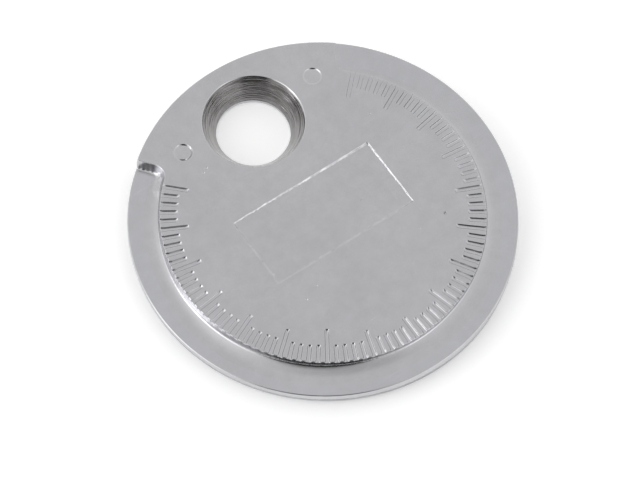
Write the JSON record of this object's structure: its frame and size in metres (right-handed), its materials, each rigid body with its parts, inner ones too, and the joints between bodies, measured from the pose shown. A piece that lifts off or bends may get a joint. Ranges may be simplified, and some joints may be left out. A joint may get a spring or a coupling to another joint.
{
  "type": "spark plug gap gauge",
  "caption": "Coin-shaped feeler whose rim is a ramp that thickens round the disc, marked on both faces, with a countersunk ring hole.",
  "frame": {"origin": "centre of the disc at its back face", "axes": "+Z out of the front face along the disc's axis, +Y towards the ring hole"},
  "size_m": [0.036, 0.036, 0.0028],
  "materials": {
    "plated_zinc": "bright nickel plate over a zinc casting, slightly satin"
  },
  "bodies": {
    "root": {"gap_gauge": "plated_zinc"}
  },
  "joints": []
}
